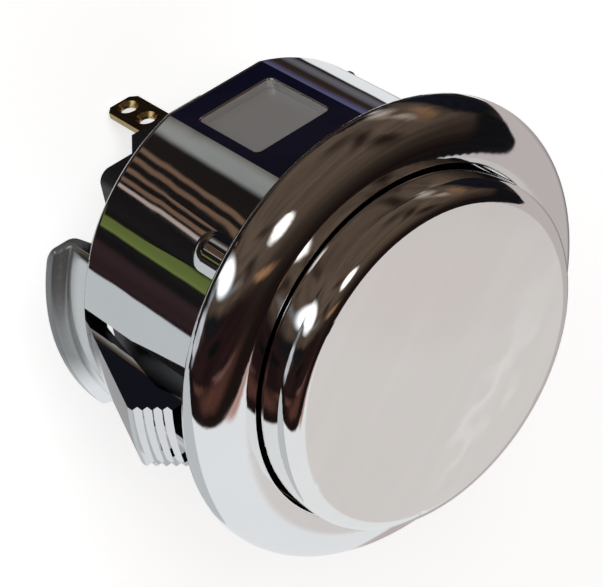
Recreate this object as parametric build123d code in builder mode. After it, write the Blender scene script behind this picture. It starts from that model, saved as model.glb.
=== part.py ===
import os
from math import asin, cos, degrees, hypot, radians, sin

from build123d import *

# A snap-in arcade push button. Millimetres, +Z out of the panel towards the finger.
# The origin is on the button's axis, in the plane where the rim seats on the panel.
# The window's flat faces -Y and the two snap arms stand at +X and -X.

# Panel fit, barrel and rim
panel_hole = 30.0
hole_clearance = 0.25
barrel_length = 14.4
barrel_edge_round = 0.7
rim_overhang = 2.63
rim_height = 3.6
rim_edge_height = 1.17
lip_round = 0.15
lip_land = 0.3
seat_width = 1.0
bore_wall = 1.45

# Flat with its square window recess
flat_inset = 0.6
window_size = 6.35
window_depth = 0.8
window_drop = 8.5
window_corner = 0.35
window_edge_round = 0.15

# Centring nubs under the rim
nub_radius = 2.0
nub_rise = 0.55
nub_length = 5.1
nub_angle = 48.0

# Deck that carries the switch and holds the plunger in
deck_depth = 4.0
deck_thickness = 1.6

# Snap arms
tongue_width = 5.1
tongue_gap = 0.9
root_thickness = 0.9
tongue_thickness = 2.5
tip_thickness = 0.8
tongue_flare = 3.6
crest_depth = 3.9
tip_depth = 1.25
tip_flare = 1.4
ridge_count = 5
relief_height = 0.45
relief_reach = 1.3
pocket_wall = 0.8
ear_half_width = 7.6
ear_shift = 0.5
ear_drop = 3.3
ear_overlap = 0.6
ear_thickness = 1.75
ear_flare = 0.85
ear_lip = 1.8
ear_corner = 1.5
ear_edge_round = 0.5

# Plunger
plunger_clearance = 0.22
face_height = 6.76
face_round = 1.3
cap_thickness = 1.6
skirt_wall = 1.4
travel = 2.7
stop_gap = 0.3
post_radius = 2.3
post_gap = 0.05
rib_thickness = 1.0
rib_drop = 2.6
leg_gap = 0.6
leg_thickness = 1.4
leg_width = 4.4
hook_reach = 0.8
hook_height = 1.3
hook_gap = 0.1
slide_clearance = 0.25

# Switch
switch_width = 15.4
switch_length = 17.4
switch_corner = 1.0
switch_depth = 13.8
switch_clearance = 0.3
case_wall = 1.0
flange_thickness = 1.4
plug_depth = 1.7
insert_clearance = 0.05
boss_height = 1.9
boss_root_width = 9.2
boss_tip_width = 6.4
boss_depth = 3.8
lug_width = 3.0
lug_height = 0.9
lug_reach = 1.0
clip_width = 5.0
clip_thickness = 1.2
clip_hook = 0.5
clip_shoulder_drop = 4.2
clip_hook_height = 1.4
clip_clearance = 0.06

# Actuator, contact bridge and return spring
stem_radius = 2.1
stem_reserve = 0.3
collar_radius = 3.2
collar_thickness = 0.9
collar_gap = 0.1
pin_radius = 1.45
pin_length = 3.9
bridge_thickness = 0.4
bridge_width = 4.6
bridge_margin = 0.25
contact_radius = 0.9
contact_height = 0.6
contact_gap = 0.05
spring_wire = 0.45
spring_radius = 2.15
spring_turns = 6.0
spring_slack = 0.02
spring_seat_depth = 0.4
spring_seat_clearance = 0.35

# Blade terminals
blade_width = 2.8
blade_thickness = 0.5
blade_inset = 1.7
blade_length = 6.3
blade_chamfer = 0.5
blade_bend = 0.3
foot_length = 2.7
foot_post_margin = 0.8
solder_hole_radius = 0.58
solder_hole_rim = 0.25
solder_hole_inset = 1.05
solder_hole_pitch = 2.35

# Sizes that follow from those above
barrel_radius = panel_hole / 2 - hole_clearance
rim_radius = barrel_radius + rim_overhang
bore_radius = barrel_radius - bore_wall
flat_distance = barrel_radius - flat_inset
deck_top = -deck_depth
deck_bottom = deck_top - deck_thickness
switch_reach = hypot(switch_width / 2 - switch_corner, switch_length / 2 - switch_corner) + switch_corner
chamber_radius = switch_reach + switch_clearance
slot_width = tongue_width + 2 * tongue_gap
pocket_floor = chamber_radius + pocket_wall
pocket_reach = barrel_radius + relief_reach
ear_top = -barrel_length + ear_overlap
ear_bottom = -barrel_length - ear_drop

plunger_radius = bore_radius - plunger_clearance
skirt_bottom = deck_top + travel + stop_gap
cap_underside = face_height - cap_thickness
leg_inner = switch_width / 2 + leg_gap
leg_outer = leg_inner + leg_thickness
hook_top = deck_bottom - hook_gap
leg_bottom = hook_top - hook_height

case_top = deck_bottom
case_inner_top = case_top - case_wall
base_rear = case_top - switch_depth
flange_top = base_rear + flange_thickness
plug_top = flange_top + plug_depth
cavity_width = switch_width - 2 * case_wall
cavity_length = switch_length - 2 * case_wall
shoulder = case_top - clip_shoulder_drop

actuator_top = case_top + travel + stem_reserve
collar_top = case_inner_top - collar_gap
collar_bottom = collar_top - collar_thickness
bridge_bottom = collar_bottom - bridge_thickness
fixed_contact_top = bridge_bottom - contact_height - travel - contact_gap
foot_top = fixed_contact_top - contact_height
foot_bottom = foot_top - blade_thickness
spring_floor = plug_top - spring_seat_depth
blade_outer = switch_length / 2 - blade_inset + blade_thickness / 2
blade_inner = blade_outer - blade_thickness
blade_tip = base_rear - boss_height - blade_length
contact_place = blade_inner - foot_length / 2
bridge_length = 2 * (contact_place + contact_radius + bridge_margin)


def polar(radius, angle):
    """A point at a radius and an angle about the button's axis."""
    return (radius * cos(radians(angle)), radius * sin(radians(angle)))


def sector_plane(half_angle):
    """An upright plane through the axis, turned back from +X by half of a sector."""
    return Plane(
        origin=(0, 0, 0),
        x_dir=(cos(radians(half_angle)), -sin(radians(half_angle)), 0),
        z_dir=(-sin(radians(half_angle)), -cos(radians(half_angle)), 0),
    )


# Snap arm: a flared tongue with stepped ridges, rooted on an ear behind the barrel
ridge_rise = (tongue_flare - tip_flare) / ridge_count
ridge_run = (crest_depth - tip_depth) / ridge_count
tongue_sector = 2 * degrees(asin(tongue_width / (2 * barrel_radius)))
tongue_root = ear_top - ear_overlap
tongue_outline = [(barrel_radius, ear_top), (barrel_radius + tongue_flare, -crest_depth)]
for step in range(ridge_count):
    ridge_radius = barrel_radius + tongue_flare - step * ridge_rise
    ridge_end = -crest_depth + (step + 1) * ridge_run
    tongue_outline += [(ridge_radius, ridge_end), (ridge_radius - ridge_rise, ridge_end)]
tongue_outline += [
    (barrel_radius + tip_flare - tip_thickness, -tip_depth),
    (barrel_radius + tongue_flare - tongue_thickness, -crest_depth),
    (barrel_radius - root_thickness, ear_top),
    (barrel_radius - root_thickness, tongue_root),
    (barrel_radius, tongue_root),
]

with BuildPart() as tongue:
    with BuildSketch(sector_plane(tongue_sector)):
        with BuildLine():
            Polyline(*tongue_outline, close=True)
        make_face()
    revolve(axis=Axis.Z, revolution_arc=2 * tongue_sector)
    with BuildSketch(Plane.XY):
        with Locations((barrel_radius, 0)):
            Rectangle(2 * barrel_radius, tongue_width)
    extrude(amount=tongue_root, mode=Mode.INTERSECT)

ear_sector = 2 * degrees(asin(ear_half_width / barrel_radius))
with BuildPart() as ear:
    with BuildSketch(sector_plane(ear_sector)):
        with BuildLine():
            flare_start = (barrel_radius, ear_bottom + ear_lip)
            flare_end = (barrel_radius + ear_flare, ear_bottom + ear_lip / 2)
            Line((barrel_radius, ear_top), flare_start)
            Spline(flare_start, flare_end, tangents=((0, -1), (0, -1)))
            Polyline(
                flare_end,
                (barrel_radius + ear_flare, ear_bottom),
                (barrel_radius + ear_flare - ear_thickness, ear_bottom),
                (barrel_radius - ear_thickness, ear_top),
                (barrel_radius, ear_top),
            )
        make_face()
    revolve(axis=Axis.Z, revolution_arc=2 * ear_sector)
    with BuildSketch(Plane.YZ) as arch:
        with Locations((ear_shift, (ear_top + ear_bottom) / 2)):
            Rectangle(2 * ear_half_width, ear_top - ear_bottom)
        fillet(arch.vertices().group_by(Axis.Y)[0], ear_corner)
    extrude(amount=2 * barrel_radius, mode=Mode.INTERSECT)
    fillet(ear.faces().sort_by(Axis.Z)[0].edges(), ear_edge_round)

# Retaining clip for the switch, hanging from the deck on the +Y side
clip_face = switch_length / 2 + clip_clearance
clip_bottom = shoulder - clip_hook_height
with BuildPart() as clip:
    with BuildSketch(Plane.YZ):
        with BuildLine():
            Polyline(
                (clip_face, deck_bottom + deck_thickness / 2),
                (clip_face, shoulder),
                (clip_face - clip_hook, shoulder),
                (clip_face - clip_hook, shoulder - clip_hook),
                (clip_face, clip_bottom),
                (clip_face + clip_thickness, clip_bottom),
                (clip_face + clip_thickness, deck_bottom + deck_thickness / 2),
                close=True,
            )
        make_face()
    extrude(amount=clip_width / 2, both=True)

# Housing
dome_width = rim_radius - bore_radius - lip_round - lip_land
seat_radius = barrel_radius + seat_width
with BuildPart() as housing:
    # Barrel and bulbous rim as one solid of revolution
    with BuildSketch(Plane.XZ):
        with BuildLine():
            Polyline(
                (0, rim_height),
                (0, -barrel_length),
                (barrel_radius, -barrel_length),
                (barrel_radius, 0),
                (seat_radius, 0),
            )
            EllipticalCenterArc(
                (seat_radius, rim_edge_height),
                rim_radius - seat_radius,
                rim_edge_height,
                start_angle=-90,
                arc_size=90,
            )
            EllipticalCenterArc(
                (rim_radius - dome_width, rim_edge_height),
                dome_width,
                rim_height - rim_edge_height,
                start_angle=0,
                arc_size=90,
            )
            Line((rim_radius - dome_width, rim_height), (0, rim_height))
        make_face()
    revolve(axis=Axis.Z)

    # Flat with its window recess, and the rounded rear edge
    with BuildSketch(Plane.XY):
        with Locations((0, -flat_distance - flat_inset)):
            Rectangle(2 * barrel_radius, 2 * flat_inset)
    extrude(amount=-barrel_length, mode=Mode.SUBTRACT)
    fillet(housing.faces().sort_by(Axis.Z)[0].edges(), barrel_edge_round)
    with BuildSketch(Plane(origin=(0, -flat_distance, -window_drop), x_dir=(1, 0, 0), z_dir=(0, -1, 0))):
        RectangleRounded(window_size, window_size, window_corner)
    extrude(amount=-window_depth, mode=Mode.SUBTRACT)
    fillet(housing.edges(Select.LAST).group_by(Axis.Y)[0], window_edge_round)

    # Two centring nubs, opposite each other: upright rods with round ends, sunk into the barrel
    nub_centre = barrel_radius + nub_rise - nub_radius
    for nub_turn in (-nub_angle, 180 - nub_angle):
        with Locations((*polar(nub_centre, nub_turn), nub_radius - nub_length)):
            Sphere(nub_radius)
        with Locations((*polar(nub_centre, nub_turn), 0)):
            Cylinder(nub_radius, nub_length - nub_radius, align=(Align.CENTER, Align.CENTER, Align.MAX))

    # Plunger bore with its rounded lip, and the switch chamber behind the deck
    with BuildSketch(Plane.XZ):
        with BuildLine():
            Polyline((0, deck_top), (bore_radius, deck_top), (bore_radius, rim_height - lip_round))
            RadiusArc(
                (bore_radius, rim_height - lip_round),
                (bore_radius + lip_round, rim_height),
                lip_round,
            )
            Polyline((bore_radius + lip_round, rim_height), (0, rim_height), (0, deck_top))
        make_face()
    revolve(axis=Axis.Z, mode=Mode.SUBTRACT)
    with BuildSketch(Plane.XY.offset(deck_bottom)):
        Circle(chamber_radius)
    extrude(amount=-barrel_length - deck_bottom, mode=Mode.SUBTRACT)

    # Pockets behind the snap arms, with a relief in the rim over each tip
    for side in (1, -1):
        with BuildSketch(Plane.XY.offset(relief_height)):
            with Locations((side * (pocket_floor + pocket_reach) / 2, 0)):
                Rectangle(pocket_reach - pocket_floor, slot_width)
        extrude(amount=-barrel_length - relief_height, mode=Mode.SUBTRACT)

    # Post hole and leg slots through the deck
    with BuildSketch(Plane.XY.offset(deck_top)):
        Circle(post_radius + slide_clearance)
        for side in (1, -1):
            with Locations((side * (leg_inner + leg_outer) / 2, 0)):
                Rectangle(leg_thickness + 2 * slide_clearance, leg_width + 2 * slide_clearance)
    extrude(amount=-deck_thickness, mode=Mode.SUBTRACT)

    add(tongue.part)
    add(ear.part)
    mirror(tongue.part, about=Plane.YZ)
    mirror(ear.part, about=Plane.YZ)
    add(clip.part)
    mirror(clip.part, about=Plane.XZ)
housing.part.label = "housing"

# Plunger
with BuildPart() as plunger:
    with BuildSketch(Plane.XZ):
        with BuildLine():
            Polyline(
                (0, cap_underside),
                (plunger_radius - skirt_wall, cap_underside),
                (plunger_radius - skirt_wall, skirt_bottom),
                (plunger_radius, skirt_bottom),
                (plunger_radius, face_height - face_round),
            )
            RadiusArc(
                (plunger_radius, face_height - face_round),
                (plunger_radius - face_round, face_height),
                -face_round,
            )
            Polyline((plunger_radius - face_round, face_height), (0, face_height), (0, cap_underside))
        make_face()
    revolve(axis=Axis.Z)

    # Ribs across the cap and the post that presses the switch
    rib_length = 2 * (plunger_radius - skirt_wall / 2)
    with BuildSketch(Plane.XY.offset(cap_underside)):
        Rectangle(rib_length, rib_thickness)
        Rectangle(rib_thickness, rib_length)
    extrude(amount=-rib_drop)
    with BuildSketch(Plane.XY.offset(cap_underside)):
        Circle(post_radius)
    extrude(amount=actuator_top + post_gap - cap_underside)

    # Hooked legs that run in the deck's slots
    with BuildSketch(Plane.XZ) as leg:
        with BuildLine():
            Polyline(
                (leg_inner, cap_underside),
                (leg_outer, cap_underside),
                (leg_outer, hook_top),
                (leg_outer + hook_reach, hook_top),
                (leg_outer, leg_bottom),
                (leg_inner, leg_bottom),
                close=True,
            )
        make_face()
        mirror(about=Plane.YZ)
    extrude(amount=leg_width / 2, both=True)
plunger.part.label = "plunger"

# Switch case: a rounded box, open at the rear
with BuildPart() as switch_case:
    with BuildSketch(Plane.XY.offset(flange_top)):
        RectangleRounded(switch_width, switch_length, switch_corner)
    extrude(amount=case_top - flange_top)
    with BuildSketch(Plane.XY.offset(flange_top)):
        Rectangle(cavity_width, cavity_length)
    extrude(amount=case_inner_top - flange_top, mode=Mode.SUBTRACT)
    with BuildSketch(Plane.XY.offset(case_top)):
        Circle(stem_radius + slide_clearance)
    extrude(amount=-case_wall, mode=Mode.SUBTRACT)

    # Grooves for the housing's clips
    groove_depth = clip_hook - clip_clearance + insert_clearance
    groove_height = clip_hook_height + clip_clearance
    for side in (1, -1):
        with Locations((0, side * switch_length / 2, shoulder + clip_clearance)):
            Box(
                clip_width + 2 * slide_clearance,
                2 * groove_depth,
                groove_height,
                align=(Align.CENTER, Align.CENTER, Align.MAX),
                mode=Mode.SUBTRACT,
            )

    # Windows for the base's lugs
    with Locations((0, 0, (flange_top + plug_top) / 2)):
        Box(
            switch_width + case_wall,
            lug_width + 2 * slide_clearance,
            lug_height + 2 * insert_clearance,
            mode=Mode.SUBTRACT,
        )
switch_case.part.label = "switch_case"

# Switch base: flange, plug, contact posts and the two terminal bosses
plug_width = cavity_width - 2 * insert_clearance
plug_length = cavity_length - 2 * insert_clearance
foot_post_length = plug_length / 2 - (contact_place - foot_length / 2)
with BuildPart() as switch_base:
    with BuildSketch(Plane.XY.offset(base_rear)):
        RectangleRounded(switch_width, switch_length, switch_corner)
    extrude(amount=flange_thickness)
    with BuildSketch(Plane.XY.offset(flange_top)):
        Rectangle(plug_width, plug_length)
    extrude(amount=plug_depth)
    with Locations((0, 0, (flange_top + plug_top) / 2)):
        Box(plug_width + 2 * lug_reach, lug_width, lug_height)
    for side in (1, -1):
        with Locations((0, side * (plug_length / 2 - foot_post_length / 2), plug_top)):
            Box(
                blade_width + 2 * foot_post_margin,
                foot_post_length,
                foot_bottom - plug_top,
                align=(Align.CENTER, Align.CENTER, Align.MIN),
            )
        with BuildSketch(Plane.XZ.offset(-side * switch_length / 2)):
            with BuildLine():
                Polyline(
                    (-boss_root_width / 2, base_rear),
                    (-boss_tip_width / 2, base_rear - boss_height),
                    (boss_tip_width / 2, base_rear - boss_height),
                    (boss_root_width / 2, base_rear),
                    close=True,
                )
            make_face()
        extrude(amount=side * boss_depth)
        with Locations((0, side * (blade_inner + blade_outer) / 2, foot_bottom)):
            Box(
                blade_width + 2 * insert_clearance,
                blade_thickness + 2 * insert_clearance,
                foot_bottom - base_rear + boss_height,
                align=(Align.CENTER, Align.CENTER, Align.MAX),
                mode=Mode.SUBTRACT,
            )
    with Locations((0, 0, plug_top)):
        Cylinder(
            spring_radius + spring_wire / 2 + spring_seat_clearance,
            spring_seat_depth,
            align=(Align.CENTER, Align.CENTER, Align.MAX),
            mode=Mode.SUBTRACT,
        )
switch_base.part.label = "switch_base"

# Actuator: stem, collar and spring pin
with BuildPart() as switch_actuator:
    with BuildSketch(Plane.XZ):
        with BuildLine():
            Polyline(
                (0, actuator_top),
                (stem_radius, actuator_top),
                (stem_radius, collar_top),
                (collar_radius, collar_top),
                (collar_radius, collar_bottom),
                (pin_radius, collar_bottom),
                (pin_radius, collar_bottom - pin_length),
                (0, collar_bottom - pin_length),
                close=True,
            )
        make_face()
    revolve(axis=Axis.Z)
switch_actuator.part.label = "switch_actuator"

# Contact bridge, a plate with round ends, and its two contact buttons
with BuildPart() as contact_bridge:
    with BuildSketch(Plane.XY.offset(bridge_bottom)):
        SlotOverall(bridge_length, bridge_width, rotation=90)
        Circle(pin_radius + insert_clearance, mode=Mode.SUBTRACT)
    extrude(amount=bridge_thickness)
contact_bridge.part.label = "contact_bridge"

with BuildPart() as bridge_contacts:
    with BuildSketch(Plane.XY.offset(bridge_bottom)):
        with Locations((0, contact_place), (0, -contact_place)):
            Circle(contact_radius)
    extrude(amount=-contact_height)
bridge_contacts.part.label = "bridge_contacts"

# Return spring: a coil between the base's seat and the bridge
spring_bottom = spring_floor + spring_wire / 2 + spring_slack
spring_height = bridge_bottom - spring_floor - spring_wire - 2 * spring_slack
with BuildPart() as return_spring:
    with BuildLine() as coil:
        Helix(spring_height / spring_turns, spring_height, spring_radius, center=(0, 0, spring_bottom))
    with BuildSketch(Plane(origin=coil.line @ 0, z_dir=coil.line % 0)):
        Circle(spring_wire / 2)
    sweep(path=coil.line, is_frenet=True)
return_spring.part.label = "return_spring"

# Front terminal: a blade bent over into a foot, with two solder holes near its tip
with BuildPart() as terminal_front:
    with BuildSketch(Plane.YZ) as strip:
        with BuildLine():
            Polyline(
                (-blade_outer, blade_tip),
                (-blade_outer, foot_top),
                (-blade_inner + foot_length, foot_top),
                (-blade_inner + foot_length, foot_bottom),
                (-blade_inner, foot_bottom),
                (-blade_inner, blade_tip),
                close=True,
            )
        make_face()
        fillet(strip.vertices().group_by(Axis.Y)[-1].sort_by(Axis.X)[0], blade_bend)
    extrude(amount=blade_width / 2, both=True)
    chamfer(terminal_front.edges().filter_by(Axis.Y).group_by(Axis.Z)[0], blade_chamfer)
    hole_low = blade_tip + solder_hole_inset
    with Locations(Plane(origin=(0, -blade_outer, 0), x_dir=(1, 0, 0), z_dir=(0, -1, 0))):
        with Locations((0, hole_low), (0, hole_low + solder_hole_pitch)):
            CounterSinkHole(
                solder_hole_radius,
                solder_hole_radius + solder_hole_rim,
                depth=2 * blade_thickness,
            )
terminal_front.part.label = "terminal_front"

with BuildPart() as terminal_back:
    mirror(terminal_front.part, about=Plane.XZ)
terminal_back.part.label = "terminal_back"

# Contact buttons on the terminals' feet
with BuildPart() as fixed_contact_front:
    with BuildSketch(Plane.XY.offset(foot_top)):
        with Locations((0, -contact_place)):
            Circle(contact_radius)
    extrude(amount=contact_height)
fixed_contact_front.part.label = "fixed_contact_front"

with BuildPart() as fixed_contact_back:
    mirror(fixed_contact_front.part, about=Plane.XZ)
fixed_contact_back.part.label = "fixed_contact_back"

os.makedirs("parts", exist_ok=True)
for piece in (
    housing,
    plunger,
    switch_case,
    switch_base,
    switch_actuator,
    contact_bridge,
    bridge_contacts,
    return_spring,
    terminal_front,
    terminal_back,
    fixed_contact_front,
    fixed_contact_back,
):
    export_step(piece.part, f"parts/{piece.part.label}.step")
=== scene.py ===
from collections import namedtuple
from math import cos, pi, radians, sin

import bpy
from mathutils import Matrix, Vector


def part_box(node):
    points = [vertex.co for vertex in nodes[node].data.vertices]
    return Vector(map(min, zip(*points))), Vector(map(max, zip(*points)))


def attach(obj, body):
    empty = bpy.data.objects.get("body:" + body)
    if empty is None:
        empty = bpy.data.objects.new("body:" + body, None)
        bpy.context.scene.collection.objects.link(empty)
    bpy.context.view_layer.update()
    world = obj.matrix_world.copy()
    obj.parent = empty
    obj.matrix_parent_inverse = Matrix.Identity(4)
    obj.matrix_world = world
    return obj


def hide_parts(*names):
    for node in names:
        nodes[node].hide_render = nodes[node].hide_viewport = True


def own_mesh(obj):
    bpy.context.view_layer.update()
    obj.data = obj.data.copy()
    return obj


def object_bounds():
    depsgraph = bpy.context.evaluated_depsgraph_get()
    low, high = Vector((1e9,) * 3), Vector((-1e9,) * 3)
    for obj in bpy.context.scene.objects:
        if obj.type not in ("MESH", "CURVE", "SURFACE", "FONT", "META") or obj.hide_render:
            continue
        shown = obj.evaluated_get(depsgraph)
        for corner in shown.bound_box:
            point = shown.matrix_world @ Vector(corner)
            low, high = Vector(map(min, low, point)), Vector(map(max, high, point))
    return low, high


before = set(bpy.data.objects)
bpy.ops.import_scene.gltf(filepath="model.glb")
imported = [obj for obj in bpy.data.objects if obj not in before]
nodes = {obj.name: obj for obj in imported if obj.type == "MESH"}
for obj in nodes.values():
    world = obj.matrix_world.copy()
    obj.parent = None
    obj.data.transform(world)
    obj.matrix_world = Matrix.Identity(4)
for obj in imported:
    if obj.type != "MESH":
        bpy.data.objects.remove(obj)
cad_low, cad_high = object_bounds()

# A chrome push button that lies on a pale table with its window upwards. Metres, in the part's frame.
MM = 0.001

# Camera, fitted to the photo
PHOTO_WIDTH = 603
FOCAL_PIXELS = 2221.0
SENSOR_WIDTH = 36.0
CLIP_START = 5 * MM
CAMERA_PLACE = Vector((69.93, -97.40, 97.41)) * MM
CAMERA_TARGET = Vector((2.686, -2.324, -4.101)) * MM
CAMERA_ROLL = radians(121.88)

# Surroundings: azimuth turns from +Z towards +X, elevation rises from the table's plane towards -Y
TABLE_NORMAL = Vector((0.048, 0.985, -0.165))
TABLE_EDGE = 0.382
TABLE_SOFTNESS = 0.012
TABLE_COLOUR = (0.78, 0.80, 0.81)
REAR_TABLE_COLOUR = (0.50, 0.53, 0.54)
PAPER_COLOUR = (0.50, 0.455, 0.445)
BACKDROP_COLOUR = (1.0, 1.0, 1.0)
ROOM_LOW = (0.010, 0.006, 0.005)
ROOM_HIGH = (0.090, 0.064, 0.047)
ROOM_FOOT = -0.22
ROOM_TOP = 0.65

# Uneven edges and streaks of the room
WARP_SCALE = 5.0
WARP_SWING = 0.035
STREAK_SIZE = 1.0
STREAK_STRETCH = (1.6, 9.0, 1.6)
STREAK_EDGE = (0.3, 0.7)
STREAK_DARK = 0.8
STREAK_LIGHT = 1.2

# Weight that keeps a patch off the far side of the sky
FAR_SIDE = 100.0

# Patches of the room and of the table. Each: azimuth, elevation, half length, half width and turn in
# degrees, the soft share of its edge, and its colour. Later ones lie over earlier ones.
ROOM_PATCHES = {
    "dark ceiling left": (-83, 70, 26, 14, 0, 0.9, (0.036, 0.025, 0.020)),
    "dark arc": (-46, 49, 27, 7, -44, 0.9, (0.022, 0.014, 0.011)),
    "foot of the dark arc": (-37, 20, 24, 7, -86, 0.9, (0.020, 0.012, 0.009)),
    "dark arc right": (35, 49, 22, 5, 32, 0.9, (0.035, 0.022, 0.017)),
    "dark beside the tall light": (28, 25, 18, 6, 50, 0.9, (0.030, 0.020, 0.016)),
    "plum wall": (54, -2, 62, 23, 8, 0.30, (0.017, 0.008, 0.008)),
    "rust along the table": (40, -18, 48, 8, 8, 0.8, (0.085, 0.036, 0.027)),
    "rust streak": (28, -14, 24, 2.5, 14, 0.8, (0.13, 0.065, 0.055)),
    "rust streak over": (78, -8, 30, 3, 6, 0.8, (0.09, 0.042, 0.034)),
    "black blot": (52, 4, 22, 4, 14, 0.7, (0.006, 0.005, 0.005)),
    "black under the long light": (78, 18, 42, 7, 6, 0.6, (0.008, 0.008, 0.009)),
    "cool rim under the long light": (58, 29, 32, 4, 12, 0.9, (0.16, 0.17, 0.17)),
    "amber edge": (5, 2, 18, 2.8, 41, 0.8, (0.33, 0.175, 0.095)),
    "haze left": (-114, 43, 24, 8, 22, 0.9, (0.38, 0.33, 0.29)),
    "haze branch left": (-70, 37, 28, 5.5, -46, 0.9, (0.27, 0.21, 0.165)),
    "haze spot left": (-134, 33, 8, 5, 30, 0.9, (0.50, 0.48, 0.47)),
    "amber branch left": (-70, 26, 26, 6, -32, 0.8, (0.20, 0.115, 0.06)),
    "black band left": (-101, 14, 38, 18, -6, 0.35, (0.007, 0.007, 0.011)),
    "black slope left": (-62, -13, 34, 10, -38, 0.4, (0.006, 0.006, 0.007)),
    "rear dark": (146, 24, 34, 27, 0, 0.3, (0.009, 0.008, 0.008)),
    "rear dark above": (162, 45, 13, 8, 0, 0.5, (0.012, 0.010, 0.009)),
    "grey panel": (177, 46, 5.5, 4.5, 0, 0.6, (0.27, 0.28, 0.27)),
    "green strip": (138, 16, 15, 2.4, 0, 0.35, (0.115, 0.15, 0.04)),
    "olive end of the strip": (128, 15, 7, 2.2, 0, 0.7, (0.30, 0.27, 0.11)),
    "plum skirting": (138, 2, 22, 7, 0, 0.4, (0.028, 0.016, 0.018)),
    "pale wall": (118, 10, 13, 13, 0, 0.5, (0.52, 0.53, 0.56)),
    "cool glow": (121, 25, 9, 9, 0, 0.9, (0.22, 0.23, 0.25)),
    "pale slat": (142, 29.5, 16, 1.1, 0, 0.6, (0.50, 0.40, 0.36)),
    "black corner": (-152, 41, 22, 10, 0, 0.4, (0.006, 0.006, 0.010)),
    "navy corner": (-146, 29, 20, 8, 0, 0.5, (0.004, 0.004, 0.012)),
    "slate strip": (-134, 11, 12, 5, 0, 0.6, (0.10, 0.10, 0.20)),
    "grey wall left": (-132, -2, 9, 6, 0, 0.7, (0.12, 0.115, 0.13)),
}
SLAT_ELEVATIONS = (41, 38, 35, 32)
SLAT_AZIMUTH = 147
SLAT_SIZE = (24, 1.0)
SLAT_TURN = 0
SLAT_SOFTNESS = 0.6
SLAT_COLOUR = (0.17, 0.105, 0.07)
LIGHTS = {
    "long light": (98, 39, 40, 9.5, 0, 0.45, (1.35, 1.40, 1.45)),
    "tall light": (8, 27.5, 17, 6.8, 60, 0.55, (1.65, 1.60, 1.52)),
}
TABLE_PATCHES = {
    "rear table": (142, -34, 44, 30, 0, 0.03, REAR_TABLE_COLOUR),
    "left table": (-124, -36, 34, 29, 0, 0.06, TABLE_COLOUR),
    "salmon edge": (-6, -33.5, 24, 2.4, 3, 0.8, (0.42, 0.25, 0.20)),
    "raised paper": (-98, -38, 36, 35, 0, 0.05, PAPER_COLOUR),
    "slope of the paper": (-64, -30, 30, 11, -33, 0.08, PAPER_COLOUR),
    "shade before the face": (-37, -46, 17, 14, 0, 0.5, (0.66, 0.63, 0.61)),
    "rosy paper before the face": (-37.5, -38.3, 3.6, 2.2, 0, 0.9, (0.635, 0.585, 0.57)),
    "pale streak before the face": (-39.0, -41.5, 4.2, 0.32, -54, 0.9, (0.76, 0.74, 0.72)),
    "dim paper": (-112, -24, 16, 12, 0, 0.9, (0.38, 0.345, 0.34)),
    "far edge": (180, -8, 18, 12, 0, 0.6, (0.36, 0.36, 0.33)),
    "dim floor": (-126, -37, 26, 15, 0, 0.7, (0.20, 0.195, 0.195)),
    "far floor": (-166, -36, 26, 14, 0, 0.6, (0.34, 0.34, 0.345)),
}

# Floor and lamp
FLOOR_DROP = 0.5 * MM
FLOOR_SIZE = 4.0
FLOOR_ALBEDO = (0.82, 0.82, 0.82, 1.0)
FLOOR_GLOW = 0.62
LAMP_PLACE = Vector((0.20, -0.46, 0.36))
LAMP_SIZE = 0.35
LAMP_POWER = 2.2

# Places of the housing with a satin finish, and the arm pockets, where the chrome is made darker and duller
# as painted shade in those recesses; each a box with a soft share at its edge
SatinAndShadePlace = namedtuple("SatinAndShadePlace", "middle half softness colour roughness metal_share")
WINDOW_FLOOR = SatinAndShadePlace(
    middle=Vector((0, -13.35, -8.5)) * MM,
    half=Vector((3.2, 0.1, 3.2)) * MM,
    softness=0,
    colour=(0.50, 0.495, 0.49),
    roughness=0.42,
    metal_share=0.6,
)
# Painted shade: the chrome in the pockets behind the arms is dark grey and duller, standing in for the
# shade inside these recesses
ARM_POCKET_SHADE = [
    SatinAndShadePlace(
        middle=Vector((side * 13.25, 0, -6.9)) * MM,
        half=Vector((1.05, 3.47, 7.4)) * MM,
        softness=0,
        colour=(0.15, 0.15, 0.16),
        roughness=0.35,
        metal_share=1.0,
    )
    for side in (1, -1)
]
EARS = [
    SatinAndShadePlace(
        middle=Vector((side * 14.3, -6, -20)) * MM,
        half=Vector((5, 12, 5.6)) * MM,
        softness=0.4,
        colour=(0.30, 0.31, 0.315),
        roughness=0.28,
        metal_share=0.76,
    )
    for side in (1, -1)
]

# Chrome: soft smudges, fine specks and a slight waviness
CHROME_ROUGHNESS = (0.015, 0.11)
SMUDGE_SIZE = 7 * MM
SMUDGE_DETAIL = 4.0
SPECK_SIZE = 0.35 * MM
SPECK_DETAIL = 2.0
WAVE_SIZE = 4 * MM
WAVE_DETAIL = 1.0
WAVE_STRENGTH = 0.06
WAVE_HEIGHT = 0.25 * MM

# Polishing streaks on the plunger's face
POLISH_SHARE = 0.35
POLISH_EDGE = (0.45, 0.75)
POLISH_TURN = radians(-45)
POLISH_STRETCH = (0.12, 1.0, 1.0)
POLISH_GRAIN = 1.6 * MM

# Moulded plastic: clouded roughness and a fine grain
CLOUD_SIZE = 3 * MM
CLOUD_SWING = 0.08
GRAIN_DETAIL = 4.0
GRAIN_STRENGTH = 0.25
GRAIN_HEIGHT = 0.03 * MM

# Drawn metal: tarnish, and fine lines that make it smoother or rougher
TARNISH_SIZE = 1.6 * MM
LINE_SIZE = 0.12 * MM
LINE_SMOOTHER = 0.08
LINE_ROUGHER = 0.1
LINE_STRENGTH = 0.15
LINE_HEIGHT = 0.01 * MM
LINES_ALONG_Y = (1.0, 0.05, 1.0)
LINES_ALONG_Z = (1.0, 1.0, 0.05)
EVEN_GRAIN = (1.0, 1.0, 1.0)

# Return spring
SPRING_WIRE = 0.45 * MM
SPRING_TURNS = 6
SPRING_STEPS_PER_TURN = 40
SPRING_SIDES = 12


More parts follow.
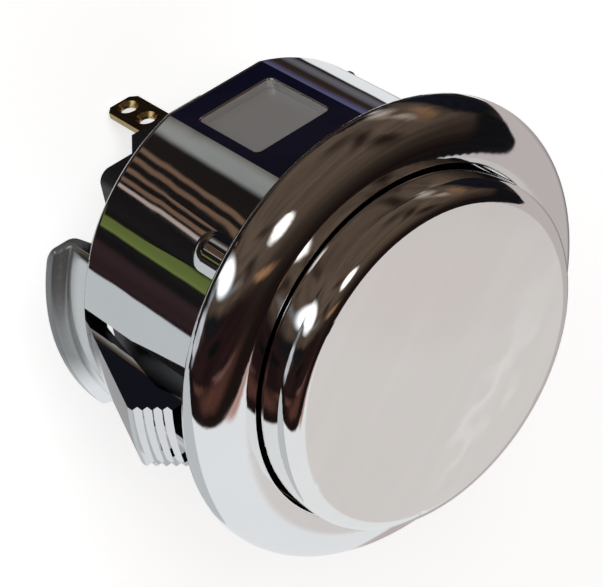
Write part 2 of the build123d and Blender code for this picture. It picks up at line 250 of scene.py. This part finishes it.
def add_node(tree, kind, **settings):
    """A node of that kind with its attributes set."""
    node = tree.nodes.new(kind)
    for name, value in settings.items():
        setattr(node, name, value)
    return node


def feed(tree, socket, value):
    """Links a socket into an input, or sets a plain value on it."""
    if isinstance(value, bpy.types.NodeSocket):
        tree.links.new(value, socket)
    else:
        socket.default_value = value


def maths(tree, operation, first, second):
    """A math node's result."""
    node = add_node(tree, "ShaderNodeMath", operation=operation)
    feed(tree, node.inputs[0], first)
    feed(tree, node.inputs[1], second)
    return node.outputs[0]


def dot(tree, first, second):
    """The dot product of a vector socket and a fixed vector."""
    node = add_node(tree, "ShaderNodeVectorMath", operation="DOT_PRODUCT")
    feed(tree, node.inputs[0], first)
    feed(tree, node.inputs[1], second)
    return node.outputs["Value"]


def ramp_between(tree, value, start, end):
    """0 before the start, 1 past the end, and a smooth run between them."""
    node = add_node(tree, "ShaderNodeMapRange", clamp=True, interpolation_type="SMOOTHSTEP")
    feed(tree, node.inputs["Value"], value)
    feed(tree, node.inputs["From Min"], start)
    feed(tree, node.inputs["From Max"], end)
    return node.outputs["Result"]


def between(tree, share, low, high):
    """A number that runs from low to high with a share."""
    node = add_node(tree, "ShaderNodeMapRange", clamp=True)
    feed(tree, node.inputs["Value"], share)
    node.inputs["To Min"].default_value = low
    node.inputs["To Max"].default_value = high
    return node.outputs["Result"]


def mix_colours(tree, share, first, second):
    """A colour mixed from two colours or sockets."""
    node = add_node(tree, "ShaderNodeMix", data_type="RGBA")
    feed(tree, node.inputs["Factor"], share)
    colour_inputs = [socket for socket in node.inputs if socket.type == "RGBA"]
    for socket, value in zip(colour_inputs, (first, second)):
        feed(tree, socket, value if isinstance(value, bpy.types.NodeSocket) else (*value, 1.0))
    return next(socket for socket in node.outputs if socket.type == "RGBA")


def mix_numbers(tree, share, first, second):
    """A number mixed from two numbers or sockets."""
    node = add_node(tree, "ShaderNodeMix", data_type="FLOAT")
    feed(tree, node.inputs[0], share)
    feed(tree, node.inputs[2], first)
    feed(tree, node.inputs[3], second)
    return node.outputs[0]


def noise(tree, place, size, detail=3.0, stretch=(1.0, 1.0, 1.0), turn=0.0):
    """Noise whose grain is about the given size, turned about Z and stretched along the axes."""
    if turn:
        turned = add_node(tree, "ShaderNodeMapping")
        feed(tree, turned.inputs["Vector"], place)
        turned.inputs["Rotation"].default_value = (0, 0, turn)
        place = turned.outputs["Vector"]
    mapping = add_node(tree, "ShaderNodeMapping")
    feed(tree, mapping.inputs["Vector"], place)
    mapping.inputs["Scale"].default_value = [share / size for share in stretch]
    node = add_node(tree, "ShaderNodeTexNoise")
    feed(tree, node.inputs["Vector"], mapping.outputs["Vector"])
    node.inputs["Scale"].default_value = 1.0
    node.inputs["Detail"].default_value = detail
    return node.outputs["Fac"]


def sky_direction(azimuth, elevation):
    """A direction from its azimuth and elevation in degrees."""
    turn, rise = radians(azimuth), radians(elevation)
    return Vector((cos(rise) * sin(turn), -sin(rise), cos(rise) * cos(turn)))


def patch_mask(tree, direction, azimuth, elevation, half_length, half_width, turn, softness):
    """1 inside an oval patch of the surroundings, falling to 0 at its edge."""
    centre = sky_direction(azimuth, elevation)
    level = sky_direction(azimuth + 90, 0)
    rise = level.cross(centre)
    along = level * cos(radians(turn)) + rise * sin(radians(turn))
    across = rise * cos(radians(turn)) - level * sin(radians(turn))
    length_share = dot(tree, direction, along / sin(radians(half_length)))
    width_share = dot(tree, direction, across / sin(radians(half_width)))
    behind = maths(tree, "MAXIMUM", dot(tree, direction, centre * -FAR_SIDE), 0.0)
    spread = add_node(tree, "ShaderNodeCombineXYZ")
    feed(tree, spread.inputs["X"], length_share)
    feed(tree, spread.inputs["Y"], width_share)
    feed(tree, spread.inputs["Z"], behind)
    distance = add_node(tree, "ShaderNodeVectorMath", operation="LENGTH")
    feed(tree, distance.inputs[0], spread.outputs["Vector"])
    return ramp_between(tree, distance.outputs["Value"], 1.0, 1.0 - softness)


def lay_patches(tree, direction, colour, patches):
    """The colour with oval patches laid over it, one after another."""
    for *oval, patch_colour in patches:
        colour = mix_colours(tree, patch_mask(tree, direction, *oval), colour, patch_colour)
    return colour


def warped(tree, direction):
    """The direction with an uneven swing, so that the room's edges look grown and worn."""
    wobble = add_node(tree, "ShaderNodeTexNoise")
    feed(tree, wobble.inputs["Vector"], direction)
    wobble.inputs["Scale"].default_value = WARP_SCALE
    swing = add_node(tree, "ShaderNodeVectorMath", operation="MULTIPLY_ADD")
    feed(tree, swing.inputs[0], wobble.outputs["Color"])
    swing.inputs[1].default_value = [2 * WARP_SWING] * 3
    swing.inputs[2].default_value = [-WARP_SWING] * 3
    moved = add_node(tree, "ShaderNodeVectorMath", operation="ADD")
    feed(tree, moved.inputs[0], direction)
    feed(tree, moved.inputs[1], swing.outputs["Vector"])
    return moved.outputs["Vector"]


def make_world():
    """A dim room over a bright table for the metal to mirror, and plain white behind the object."""
    world = bpy.data.worlds.new("surroundings")
    bpy.context.scene.world = world
    world.use_nodes = True
    tree = world.node_tree
    tree.nodes.clear()
    direction = add_node(tree, "ShaderNodeTexCoord").outputs["Generated"]
    below = dot(tree, direction, TABLE_NORMAL)
    room_direction = warped(tree, direction)

    # Room
    height = maths(tree, "MULTIPLY", below, -1.0)
    colour = mix_colours(tree, ramp_between(tree, height, ROOM_FOOT, ROOM_TOP), ROOM_LOW, ROOM_HIGH)
    slats = [
        (SLAT_AZIMUTH, elevation, *SLAT_SIZE, SLAT_TURN, SLAT_SOFTNESS, SLAT_COLOUR)
        for elevation in SLAT_ELEVATIONS
    ]
    colour = lay_patches(tree, room_direction, colour, [*ROOM_PATCHES.values(), *slats])
    streak = noise(tree, room_direction, STREAK_SIZE, stretch=STREAK_STRETCH)
    shade = between(tree, ramp_between(tree, streak, *STREAK_EDGE), STREAK_DARK, STREAK_LIGHT)
    scaled = add_node(tree, "ShaderNodeVectorMath", operation="SCALE")
    feed(tree, scaled.inputs[0], colour)
    feed(tree, scaled.inputs["Scale"], shade)

    # Lights
    colour = lay_patches(tree, direction, scaled.outputs["Vector"], LIGHTS.values())

    # Table
    table_mask = ramp_between(tree, below, TABLE_EDGE - TABLE_SOFTNESS, TABLE_EDGE + TABLE_SOFTNESS)
    colour = mix_colours(tree, table_mask, colour, TABLE_COLOUR)
    colour = lay_patches(tree, direction, colour, TABLE_PATCHES.values())

    # Backdrop
    seen = add_node(tree, "ShaderNodeLightPath").outputs["Is Camera Ray"]
    colour = mix_colours(tree, seen, colour, BACKDROP_COLOUR)
    background = add_node(tree, "ShaderNodeBackground")
    tree.links.new(colour, background.inputs["Color"])
    output = add_node(tree, "ShaderNodeOutputWorld")
    tree.links.new(background.outputs[0], output.inputs["Surface"])


def make_camera():
    """The camera at the photo's viewing angle."""
    data = bpy.data.cameras.new("camera")
    data.sensor_width = SENSOR_WIDTH
    data.lens = FOCAL_PIXELS / PHOTO_WIDTH * SENSOR_WIDTH
    data.clip_start = CLIP_START
    camera = bpy.data.objects.new("camera", data)
    bpy.context.scene.collection.objects.link(camera)
    aim = (CAMERA_TARGET - CAMERA_PLACE).to_track_quat("-Z", "Y").to_matrix().to_4x4()
    camera.matrix_world = Matrix.Translation(CAMERA_PLACE) @ aim @ Matrix.Rotation(CAMERA_ROLL, 4, "Z")
    bpy.context.scene.camera = camera


def make_floor():
    """A wide pale floor under the part: it takes the shadow and stays out of the metal's reflections."""
    half = FLOOR_SIZE / 2
    height = cad_low.z - FLOOR_DROP
    mesh = bpy.data.meshes.new("floor")
    corners = [(-half, -half, height), (half, -half, height), (half, half, height), (-half, half, height)]
    mesh.from_pydata(corners, [], [(0, 1, 2, 3)])
    floor = bpy.data.objects.new("floor", mesh)
    bpy.context.scene.collection.objects.link(floor)
    material = bpy.data.materials.new("floor_paper")
    material.use_nodes = True
    tree = material.node_tree
    tree.nodes.clear()
    paths = add_node(tree, "ShaderNodeLightPath")
    diffuse = add_node(tree, "ShaderNodeBsdfDiffuse")
    diffuse.inputs["Color"].default_value = FLOOR_ALBEDO
    glow = add_node(tree, "ShaderNodeEmission")
    feed(tree, glow.inputs["Strength"], maths(tree, "MULTIPLY", paths.outputs["Is Camera Ray"], FLOOR_GLOW))
    paper = add_node(tree, "ShaderNodeAddShader")
    tree.links.new(diffuse.outputs[0], paper.inputs[0])
    tree.links.new(glow.outputs[0], paper.inputs[1])
    clear = add_node(tree, "ShaderNodeBsdfTransparent")
    choice = add_node(tree, "ShaderNodeMixShader")
    feed(tree, choice.inputs["Fac"], paths.outputs["Is Glossy Ray"])
    tree.links.new(paper.outputs[0], choice.inputs[1])
    tree.links.new(clear.outputs[0], choice.inputs[2])
    output = add_node(tree, "ShaderNodeOutputMaterial")
    tree.links.new(choice.outputs[0], output.inputs["Surface"])
    mesh.materials.append(material)


def make_lamp():
    """A soft lamp over the object, which the metal doesn't mirror."""
    data = bpy.data.lights.new("soft_lamp", "AREA")
    data.size = LAMP_SIZE
    data.energy = LAMP_POWER
    lamp = bpy.data.objects.new("soft_lamp", data)
    bpy.context.scene.collection.objects.link(lamp)
    aim = LAMP_PLACE.to_track_quat("Z", "Y").to_matrix().to_4x4()
    lamp.matrix_world = Matrix.Translation(LAMP_PLACE) @ aim
    lamp.visible_glossy = False
    lamp.visible_camera = False


def start_material(name):
    """A material with its node tree, its shader and its object coordinates."""
    material = bpy.data.materials.new(name)
    material.use_nodes = True
    tree = material.node_tree
    shader = tree.nodes["Principled BSDF"]
    place = add_node(tree, "ShaderNodeTexCoord").outputs["Object"]
    return material, tree, shader, place


def add_bump(tree, shader, height, strength, distance):
    """Bump on a shader from a height socket; the distance is in metres."""
    node = add_node(tree, "ShaderNodeBump")
    node.inputs["Strength"].default_value = strength
    node.inputs["Distance"].default_value = distance
    feed(tree, node.inputs["Height"], height)
    tree.links.new(node.outputs["Normal"], shader.inputs["Normal"])


def box_mask(tree, place, middle, half, softness):
    """1 inside a box of the part's frame and 0 outside, with a soft fall inside its faces if asked."""
    offset = add_node(tree, "ShaderNodeVectorMath", operation="SUBTRACT")
    feed(tree, offset.inputs[0], place)
    offset.inputs[1].default_value = middle
    share = add_node(tree, "ShaderNodeVectorMath", operation="DIVIDE")
    feed(tree, share.inputs[0], offset.outputs["Vector"])
    share.inputs[1].default_value = half
    size = add_node(tree, "ShaderNodeVectorMath", operation="ABSOLUTE")
    feed(tree, size.inputs[0], share.outputs["Vector"])
    sides = add_node(tree, "ShaderNodeSeparateXYZ")
    feed(tree, sides.inputs[0], size.outputs["Vector"])
    widest = maths(tree, "MAXIMUM", sides.outputs["X"], sides.outputs["Y"])
    widest = maths(tree, "MAXIMUM", widest, sides.outputs["Z"])
    if softness:
        return ramp_between(tree, widest, 1.0, 1.0 - softness)
    return maths(tree, "LESS_THAN", widest, 1.0)


def chrome(name, light, dark, satin_and_shade_places=(), polished=False):
    """Bright plating over a moulding: a faint haze, soft smudges and a slight waviness."""
    material, tree, shader, place = start_material(name)
    smudge = noise(tree, place, SMUDGE_SIZE, SMUDGE_DETAIL)
    speck = noise(tree, place, SPECK_SIZE, SPECK_DETAIL)
    if polished:
        streaks = noise(tree, place, POLISH_GRAIN, stretch=POLISH_STRETCH, turn=POLISH_TURN)
        smudge = mix_numbers(tree, POLISH_SHARE, smudge, ramp_between(tree, streaks, *POLISH_EDGE))
    colour = mix_colours(tree, smudge, dark, light)
    roughness = between(tree, maths(tree, "MULTIPLY", smudge, speck), *CHROME_ROUGHNESS)
    metal = 1.0
    # Each place sets its own colour, roughness and metal share: a satin finish, or painted shade in the arm
    # pockets
    for satin_and_shade_place in satin_and_shade_places:
        mask = box_mask(tree, place, satin_and_shade_place.middle, satin_and_shade_place.half, satin_and_shade_place.softness)
        colour = mix_colours(tree, mask, colour, satin_and_shade_place.colour)
        roughness = mix_numbers(tree, mask, roughness, satin_and_shade_place.roughness)
        metal = mix_numbers(tree, mask, metal, satin_and_shade_place.metal_share)
    feed(tree, shader.inputs["Base Color"], colour)
    feed(tree, shader.inputs["Metallic"], metal)
    feed(tree, shader.inputs["Roughness"], roughness)
    add_bump(tree, shader, noise(tree, place, WAVE_SIZE, WAVE_DETAIL), WAVE_STRENGTH, WAVE_HEIGHT)
    return material


def moulded_plastic(name, light, dark, roughness, grain):
    """Moulded plastic with a fine eroded texture."""
    material, tree, shader, place = start_material(name)
    cloud = noise(tree, place, CLOUD_SIZE)
    dullness = between(tree, cloud, roughness - CLOUD_SWING, roughness + CLOUD_SWING)
    feed(tree, shader.inputs["Base Color"], mix_colours(tree, cloud, dark, light))
    feed(tree, shader.inputs["Roughness"], dullness)
    add_bump(tree, shader, noise(tree, place, grain, GRAIN_DETAIL), GRAIN_STRENGTH, GRAIN_HEIGHT)
    return material


def drawn_metal(name, light, dark, roughness, stretch):
    """Bare metal with fine drawing lines along its length."""
    material, tree, shader, place = start_material(name)
    lines = noise(tree, place, LINE_SIZE, stretch=stretch)
    tarnish = noise(tree, place, TARNISH_SIZE)
    dullness = between(tree, lines, roughness - LINE_SMOOTHER, roughness + LINE_ROUGHER)
    feed(tree, shader.inputs["Base Color"], mix_colours(tree, tarnish, dark, light))
    shader.inputs["Metallic"].default_value = 1.0
    feed(tree, shader.inputs["Roughness"], dullness)
    add_bump(tree, shader, lines, LINE_STRENGTH, LINE_HEIGHT)
    return material


def dress(node_name, material, even_shading=False):
    """Puts a finish on a carried-over node, and evens out the shading of its rounded edges if asked."""
    mesh = nodes[node_name].data
    mesh.materials.clear()
    mesh.materials.append(material)
    if even_shading:
        nodes[node_name].modifiers.new("even_shading", "WEIGHTED_NORMAL").keep_sharp = True


def make_spring(material):
    """The return spring's coil, made in place of the carried-over spring and riding with the button body.
    """
    low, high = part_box("return_spring")
    coil_radius = (high.x - low.x - SPRING_WIRE) / 2
    rise = high.z - low.z - SPRING_WIRE
    steps = SPRING_TURNS * SPRING_STEPS_PER_TURN
    verts = []
    for step in range(steps + 1):
        turn = 2 * pi * SPRING_TURNS * step / steps
        outward = Vector((cos(turn), sin(turn), 0))
        middle = outward * coil_radius + Vector((0, 0, low.z + SPRING_WIRE / 2 + rise * step / steps))
        along = Vector((-sin(turn), cos(turn), rise / (2 * pi * SPRING_TURNS * coil_radius))).normalized()
        upward = outward.cross(along)
        for side in range(SPRING_SIDES):
            angle = 2 * pi * side / SPRING_SIDES
            verts.append(middle + (outward * cos(angle) + upward * sin(angle)) * SPRING_WIRE / 2)
    faces = [list(range(SPRING_SIDES))[::-1], [steps * SPRING_SIDES + side for side in range(SPRING_SIDES)]]
    for step in range(steps):
        ring = step * SPRING_SIDES
        next_ring = ring + SPRING_SIDES
        for side in range(SPRING_SIDES):
            beside = (side + 1) % SPRING_SIDES
            faces.append((ring + side, ring + beside, next_ring + beside, next_ring + side))
    mesh = bpy.data.meshes.new("spring_coil")
    mesh.from_pydata(verts, [], faces)
    mesh.shade_smooth()
    mesh.materials.append(material)
    coil = bpy.data.objects.new("spring_coil", mesh)
    bpy.context.scene.collection.objects.link(coil)
    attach(coil, "button_body")
    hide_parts("return_spring")
    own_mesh(coil)


bpy.context.scene.view_settings.view_transform = "Standard"
make_world()
make_camera()
make_floor()
make_lamp()

housing_chrome = chrome(
    "housing_chrome",
    light=(0.93, 0.93, 0.94),
    dark=(0.87, 0.87, 0.88),
    satin_and_shade_places=[WINDOW_FLOOR, *ARM_POCKET_SHADE, *EARS],
)
plunger_chrome = chrome(
    "plunger_chrome",
    light=(0.94, 0.935, 0.93),
    dark=(0.89, 0.885, 0.88),
    polished=True,
)
switch_black = moulded_plastic(
    "switch_black",
    light=(0.016, 0.016, 0.018),
    dark=(0.007, 0.007, 0.008),
    roughness=0.42,
    grain=0.15 * MM,
)
actuator_plastic = moulded_plastic(
    "actuator_plastic",
    light=(0.74, 0.73, 0.68),
    dark=(0.66, 0.64, 0.58),
    roughness=0.45,
    grain=0.3 * MM,
)
terminal_brass = drawn_metal(
    "terminal_brass",
    light=(0.72, 0.52, 0.22),
    dark=(0.48, 0.33, 0.14),
    roughness=0.24,
    stretch=LINES_ALONG_Z,
)
bridge_brass = drawn_metal(
    "bridge_brass",
    light=(0.76, 0.55, 0.26),
    dark=(0.58, 0.4, 0.18),
    roughness=0.26,
    stretch=LINES_ALONG_Y,
)
contact_silver = drawn_metal(
    "contact_silver",
    light=(0.86, 0.86, 0.84),
    dark=(0.7, 0.7, 0.68),
    roughness=0.3,
    stretch=EVEN_GRAIN,
)
spring_steel = drawn_metal(
    "spring_steel",
    light=(0.62, 0.62, 0.62),
    dark=(0.48, 0.48, 0.5),
    roughness=0.28,
    stretch=EVEN_GRAIN,
)

dress("housing", housing_chrome)
dress("plunger", plunger_chrome, even_shading=True)
dress("switch_case", switch_black)
dress("switch_base", switch_black)
dress("switch_actuator", actuator_plastic)
dress("contact_bridge", bridge_brass)
dress("bridge_contacts", contact_silver)
dress("terminal_front", terminal_brass)
dress("terminal_back", terminal_brass)
dress("fixed_contact_front", contact_silver)
dress("fixed_contact_back", contact_silver)
make_spring(spring_steel)
